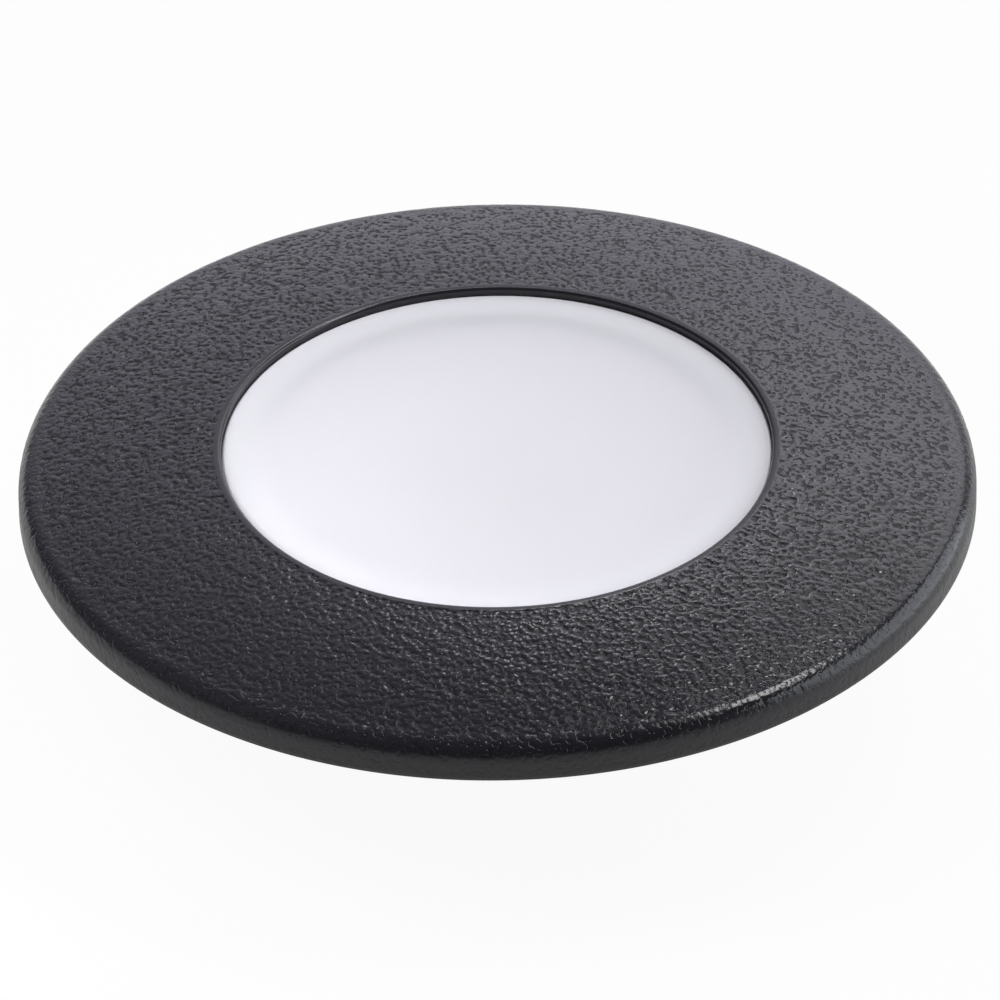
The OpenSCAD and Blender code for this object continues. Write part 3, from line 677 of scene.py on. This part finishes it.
rubberLook = {
    "colour": (0.02, 0.02, 0.021),
    "roughness": 0.7,
    "smoother": 0.08,
    "rougher": 0.08,
    "pore": 0.15 * mm,
    "relief": 0.015 * mm,
    "dustPatch": 2.5 * mm,
    "dustFrom": 0.45,
    "dustTo": 0.75,
    "dustCover": 0.2,
    "dustShade": 0.15,
}
foamLook = {**rubberLook, "colour": (0.018, 0.018, 0.019), "roughness": 0.88, "pore": 0.25 * mm,
            "relief": 0.06 * mm}
nylonLook = {**rubberLook, "colour": (0.024, 0.025, 0.027), "roughness": 0.42, "pore": 0.13 * mm,
             "relief": 0.012 * mm}
padLook = {**rubberLook, "colour": (0.33, 0.42, 0.5), "roughness": 0.8, "pore": 0.2 * mm,
           "relief": 0.02 * mm}
terminalLook = {**rubberLook, "colour": (0.05, 0.2, 0.11), "roughness": 0.45, "relief": 0.01 * mm}


def mattFinish(name, look):
    # rubber or plastic with a little dust in its pores
    material, tree, shader, place = startFinish(name, look["colour"], look["roughness"])
    pores = speckle(tree, place, look["pore"], gritNoise)
    dust = spread(tree, speckle(tree, place, look["dustPatch"]), look["dustFrom"], look["dustTo"])
    cover = look["dustCover"]
    dusty = tuple(c * (1 - cover) + look["dustShade"] * cover for c in look["colour"])
    varyColour(tree, shader, dust, look["colour"], dusty)
    varyRoughness(tree, shader, pores, look)
    emboss(tree, shader, pores, look["relief"])
    return material


siliconeLook = {
    "colour": (0.68, 0.68, 0.65),
    "translucent": 0.3,
    "translucentDepth": 0.4 * mm,
    "roughness": 0.5,
    "smoother": 0.08,
    "rougher": 0.08,
    "flow": 1.2 * mm,
    "relief": 0.02 * mm,
}


def siliconeFinish(look):
    # pale and a little translucent, with a slow flow in its skin
    material, tree, shader, place = startFinish("paleSilicone", look["colour"], look["roughness"])
    shader.inputs["Subsurface Weight"].default_value = look["translucent"]
    shader.inputs["Subsurface Scale"].default_value = look["translucentDepth"]
    flow = speckle(tree, place, look["flow"])
    varyRoughness(tree, shader, flow, look)
    emboss(tree, shader, flow, look["relief"])
    return material


reflectorLook = {
    "colour": (0.93, 0.93, 0.92),
    "roughness": 0.35,
    "smoother": 0.05,
    "rougher": 0.08,
    "ripple": 1.5 * mm,
    "relief": 0.01 * mm,
}


def reflectorFinish(look):
    # glossy white plastic with a faint ripple
    material, tree, shader, place = startFinish("reflectorWhite", look["colour"], look["roughness"])
    ripple = speckle(tree, place, look["ripple"])
    varyRoughness(tree, shader, ripple, look)
    emboss(tree, shader, ripple, look["relief"])
    return material


steelLook = {
    "colour": (0.58, 0.59, 0.6),
    "roughness": 0.3,
    "smoother": 0.08,
    "rougher": 0.12,
    "pitch": 0.45 * mm,
    "scratch": 0.12 * mm,
    "scratchShare": 0.2,
    "relief": 0.08 * mm,
    "boardHead": 1.4 * mm,  # height of the heads of the small screws
    "baseHead": 1.3 * mm,
}


def screwFinish(name, node, look, headOnTop, head):
    # fine scratches all over, and a thread below or above the head
    material, tree, shader, place = startFinish(name, look["colour"], look["roughness"], 1.0)
    low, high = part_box(node)
    threadLow, threadHigh = (low.z, high.z - head) if headOnTop else (low.z + head, high.z)
    height = splitVector(tree, place)[2]
    phase = mathNode(tree, "MULTIPLY", height, 2 * math.pi / look["pitch"])
    thread = between(tree, height, threadLow, threadHigh)
    wave = mathNode(tree, "MULTIPLY", mathNode(tree, "SINE", phase), thread)
    scratch = speckle(tree, place, look["scratch"], gritNoise)
    varyRoughness(tree, shader, scratch, look)
    fine = mathNode(tree, "MULTIPLY", scratch, look["scratchShare"])
    emboss(tree, shader, mathNode(tree, "ADD", wave, fine), look["relief"])
    return material


ledBoardLook = {
    "mask": (0.9, 0.9, 0.89),
    "track": (0.76, 0.76, 0.75),
    "trackPitch": 9 * mm,
    "trackWidth": 0.05,  # share of the pitch
    "trackEdge": 0.3,
    "roughness": 0.35,
    "smoother": 0.05,
    "rougher": 0.1,
    "weave": 0.3 * mm,
    "weaveShare": 0.3,
    "relief": 0.02 * mm,
}
driverBoardLook = {**ledBoardLook, "mask": (0.025, 0.15, 0.07), "track": (0.05, 0.22, 0.1),
                   "trackPitch": 5 * mm}


def boardFinish(name, look):
    # solder mask over a net of tracks that shows a shade lighter or darker
    material, tree, shader, place = startFinish(name, look["mask"], look["roughness"])
    tracks = addNode(tree, "ShaderNodeTexBrick", Vector=place, Scale=1 / look["trackPitch"])
    tracks.inputs["Mortar Size"].default_value = look["trackWidth"]
    tracks.inputs["Mortar Smooth"].default_value = look["trackEdge"]
    line = tracks.outputs["Fac"]
    varyColour(tree, shader, line, look["mask"], look["track"])
    weave = speckle(tree, place, look["weave"])
    varyRoughness(tree, shader, weave, look)
    relief = mathNode(tree, "ADD", line, mathNode(tree, "MULTIPLY", weave, look["weaveShare"]))
    emboss(tree, shader, relief, look["relief"])
    return material


ledLook = {
    "package": (0.85, 0.85, 0.83),
    "phosphor": (0.86, 0.74, 0.3),
    "phosphorDark": (0.8, 0.66, 0.2),
    "pocketFrom": 0.15 * mm,  # depths below the top between which the phosphor lies
    "pocketTo": 0.05 * mm,
    "upward": 0.5,  # least upward slant of a phosphor face
    "roughness": 0.45,
    "grains": 0.08 * mm,
    "relief": 0.01 * mm,
}


def ledFinish(look):
    # yellow phosphor in the pocket of each white package
    material, tree, shader, place = startFinish("ledPackage", look["package"], look["roughness"])
    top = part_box("leds")[1].z
    level = splitVector(tree, place)[2]
    slant = splitVector(tree, addNode(tree, "ShaderNodeNewGeometry").outputs["Normal"])[2]
    pocket = between(tree, level, top - look["pocketFrom"], top - look["pocketTo"])
    lit = mathNode(tree, "MULTIPLY", pocket, mathNode(tree, "GREATER_THAN", slant, look["upward"]))
    grains = speckle(tree, place, look["grains"], gritNoise)
    phosphor = blendColours(tree, grains, look["phosphor"], look["phosphorDark"])
    varyColour(tree, shader, lit, look["package"], phosphor)
    emboss(tree, shader, grains, look["relief"])
    return material


tin = (0.62, 0.62, 0.6)
rectifierLook = {
    "colour": (0.018, 0.018, 0.02),
    "tin": tin,
    "legAxis": 1,  # the legs stick out along y, or along x where this is 0
    "legReach": 0.7 * mm,
    "roughness": 0.5,
    "smoother": 0.1,
    "rougher": 0.1,
    "grit": 0.1 * mm,
    "relief": 0.012 * mm,
}
driverChipLook = {**rectifierLook, "legAxis": 0}


def tinEnds(tree, shader, place, node, axis, reach, look):
    # tinned metal at both ends of a node's box, as far in as reach
    low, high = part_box(node)
    middle = (low + high) / 2
    offset = mathNode(tree, "SUBTRACT", splitVector(tree, place)[axis], middle[axis])
    past = mathNode(tree, "ABSOLUTE", offset)
    end = mathNode(tree, "GREATER_THAN", past, (high[axis] - low[axis]) / 2 - reach)
    varyColour(tree, shader, end, look["colour"], look["tin"])
    tree.links.new(end, shader.inputs["Metallic"])


def chipFinish(name, node, look):
    # moulded body with tinned legs on two sides
    material, tree, shader, place = startFinish(name, look["colour"], look["roughness"])
    tinEnds(tree, shader, place, node, look["legAxis"], look["legReach"], look)
    grit = speckle(tree, place, look["grit"], gritNoise)
    varyRoughness(tree, shader, grit, look)
    emboss(tree, shader, grit, look["relief"])
    return material


resistorLook = {
    "colour": (0.02, 0.02, 0.026),
    "tin": tin,
    "endCap": 0.35 * mm,
    "roughness": 0.3,
    "glaze": 0.15 * mm,
    "relief": 0.01 * mm,
}


def resistorFinish(look):
    # dark glaze between two tinned ends
    material, tree, shader, place = startFinish("resistorGlaze", look["colour"], look["roughness"])
    tinEnds(tree, shader, place, "resistors", 1, look["endCap"], look)
    emboss(tree, shader, speckle(tree, place, look["glaze"]), look["relief"])
    return material


capacitorLook = {
    "can": (0.66, 0.67, 0.69),
    "foot": (0.02, 0.02, 0.02),
    "footHeight": 0.9 * mm,
    "roughness": 0.3,
    "smoother": 0.05,
    "rougher": 0.12,
    "marks": 0.15 * mm,
    "drawn": 0.05,  # how far the marks are drawn out along the can, as width by length
    "relief": 0.01 * mm,
}


def capacitorFinish(look):
    # bare can with vertical drawing marks, on a black foot
    material, tree, shader, place = startFinish("capacitorCan", look["can"], look["roughness"])
    level = splitVector(tree, place)[2]
    foot = mathNode(tree, "LESS_THAN", level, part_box("capacitor")[0].z + look["footHeight"])
    varyColour(tree, shader, foot, look["can"], look["foot"])
    tree.links.new(mathNode(tree, "SUBTRACT", 1.0, foot), shader.inputs["Metallic"])
    drawn = addNode(tree, "ShaderNodeVectorMath", {"operation": "MULTIPLY"}, n0=place,
                    n1=(1, 1, look["drawn"]))
    marks = speckle(tree, drawn.outputs[0], look["marks"])
    varyRoughness(tree, shader, marks, look)
    emboss(tree, shader, marks, look["relief"])
    return material


inductorLook = {
    "ferrite": (0.045, 0.045, 0.05),
    "copper": (0.62, 0.28, 0.12),
    "flange": 0.8 * mm,
    "wire": 0.27 * mm,
    "roughness": 0.5,
    "pores": 0.12 * mm,
    "poreShare": 0.4,
    "relief": 0.05 * mm,
}


def inductorFinish(look):
    # ferrite flanges with enamelled copper wound between them
    material, tree, shader, place = startFinish("ferriteAndCopper", look["ferrite"], look["roughness"])
    low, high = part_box("inductor")
    level = splitVector(tree, place)[2]
    wound = between(tree, level, low.z + look["flange"], high.z - look["flange"])
    varyColour(tree, shader, wound, look["ferrite"], look["copper"])
    tree.links.new(wound, shader.inputs["Metallic"])
    turns = mathNode(tree, "SINE", mathNode(tree, "MULTIPLY", level, 2 * math.pi / look["wire"]))
    winding = mathNode(tree, "MULTIPLY", turns, wound)
    pores = mathNode(tree, "MULTIPLY", speckle(tree, place, look["pores"], gritNoise), look["poreShare"])
    emboss(tree, shader, mathNode(tree, "ADD", winding, pores), look["relief"])
    return material


wireLook = {
    "red": (0.42, 0.03, 0.025),
    "black": (0.02, 0.02, 0.02),
    "tin": tin,
    "bare": 0.6 * mm,
    "roughness": 0.35,
    "ripple": 0.4 * mm,
    "relief": 0.02 * mm,
}


def wireFinish(look):
    # one red and one black wire, either side of y = 0, tinned where they are soldered
    material, tree, shader, place = startFinish("wireInsulation", look["red"], look["roughness"])
    low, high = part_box("link_wires")
    parts = splitVector(tree, place)
    colour = blendColours(tree, mathNode(tree, "GREATER_THAN", parts[1], 0.0), look["red"], look["black"])
    covered = between(tree, parts[2], low.z + look["bare"], high.z - look["bare"])
    bare = mathNode(tree, "SUBTRACT", 1.0, covered)
    varyColour(tree, shader, bare, colour, look["tin"])
    tree.links.new(bare, shader.inputs["Metallic"])
    emboss(tree, shader, speckle(tree, place, look["ripple"]), look["relief"])
    return material


boardHead, baseHead = steelLook["boardHead"], steelLook["baseHead"]
nodeFinishes = {
    "lens_gasket": siliconeFinish(siliconeLook),
    "reflector": reflectorFinish(reflectorLook),
    "leds": ledFinish(ledLook),
    "led_board": boardFinish("ledBoardMask", ledBoardLook),
    "led_board_screws": screwFinish("ledScrewSteel", "led_board_screws", steelLook, True, boardHead),
    "thermal_pad": mattFinish("thermalPad", padLook),
    "housing": castFinish("castHousing", castLook),
    "ground_gasket": mattFinish("foamRubber", foamLook),
    "wire_grommet": mattFinish("grommetRubber", rubberLook),
    "link_wires": wireFinish(wireLook),
    "driver_board": boardFinish("driverBoardMask", driverBoardLook),
    "driver_board_screws": screwFinish("driverScrewSteel", "driver_board_screws", steelLook, False,
                                       boardHead),
    "rectifier": chipFinish("rectifierEpoxy", "rectifier", rectifierLook),
    "capacitor": capacitorFinish(capacitorLook),
    "inductor": inductorFinish(inductorLook),
    "driver_chip": chipFinish("driverChipEpoxy", "driver_chip", driverChipLook),
    "resistors": resistorFinish(resistorLook),
    "terminal_block": mattFinish("terminalPlastic", terminalLook),
    "terminal_screws": screwFinish("terminalScrewSteel", "terminal_screws", steelLook, True, boardHead),
    "base_gasket": siliconeFinish(siliconeLook),
    "base_cover": castFinish("castCover", coverLook),
    "base_screws": screwFinish("baseScrewSteel", "base_screws", steelLook, False, baseHead),
    "vent_plug": mattFinish("ventNylon", nylonLook),
    "vent_seal": siliconeFinish(siliconeLook),
    "gland_washer": mattFinish("washerRubber", rubberLook),
    "gland_body": mattFinish("glandNylon", nylonLook),
    "gland_seal": mattFinish("sealRubber", rubberLook),
    "gland_nut": mattFinish("nutNylon", nylonLook),
}
for nodeName, finish in nodeFinishes.items():
    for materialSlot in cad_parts[nodeName].material_slots:
        materialSlot.material = finish
print("finishes set on", len(nodeFinishes), "construction pieces")
